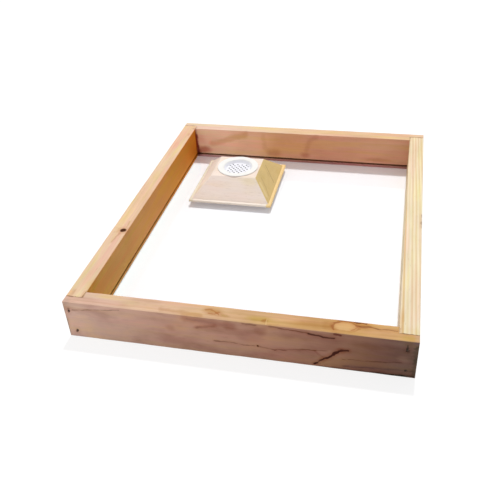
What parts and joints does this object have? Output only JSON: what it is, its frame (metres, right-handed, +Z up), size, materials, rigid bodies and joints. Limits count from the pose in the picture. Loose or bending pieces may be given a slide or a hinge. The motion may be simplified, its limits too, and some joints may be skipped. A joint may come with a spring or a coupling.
{
  "type": "hive top feeder",
  "caption": "Shallow wooden tray that sits on a beehive, with a clear floor and a sloping entry block under a lift-out perforated cup through which bees take syrup.",
  "frame": {"origin": "middle of the frame's underside, where it sits on the hive", "axes": "+Z up, +Y along the long side to the back board, next to which the entry block stands, +X to the right"},
  "size_m": [0.413, 0.505, 0.054],
  "materials": {
    "front_wood": "planed, unfinished",
    "back_wood": "planed, unfinished",
    "left_wood": "planed, unfinished",
    "right_wood": "planed, unfinished",
    "clear_sheet": "clear, polished",
    "sealant": "clear silicone",
    "plate_wood": "sanded, unfinished",
    "block_wood": "sawn, unfinished",
    "white_plastic": "moulded, satin",
    "nail_steel": "bright steel, dulled",
    "screw_steel": "stainless"
  },
  "bodies": {
    "frame": {"front_board": "front_wood", "back_board": "back_wood", "left_board": "left_wood", "right_board": "right_wood", "floor_sheet": "clear_sheet", "groove_sealant": "sealant", "plate_sealant": "sealant", "base_plate": "plate_wood", "entry_block": "block_wood", "front_nails": "nail_steel", "back_nails": "nail_steel", "block_screws": "screw_steel", "screw_washers": "screw_steel"},
    "cup": {"strainer_cup": "white_plastic"}
  },
  "joints": [
    {"name": "cup_lift", "type": "slide", "parent": "frame", "child": "cup", "axis": [0, 0, 1], "range_m": [0, 0.06]}
  ]
}
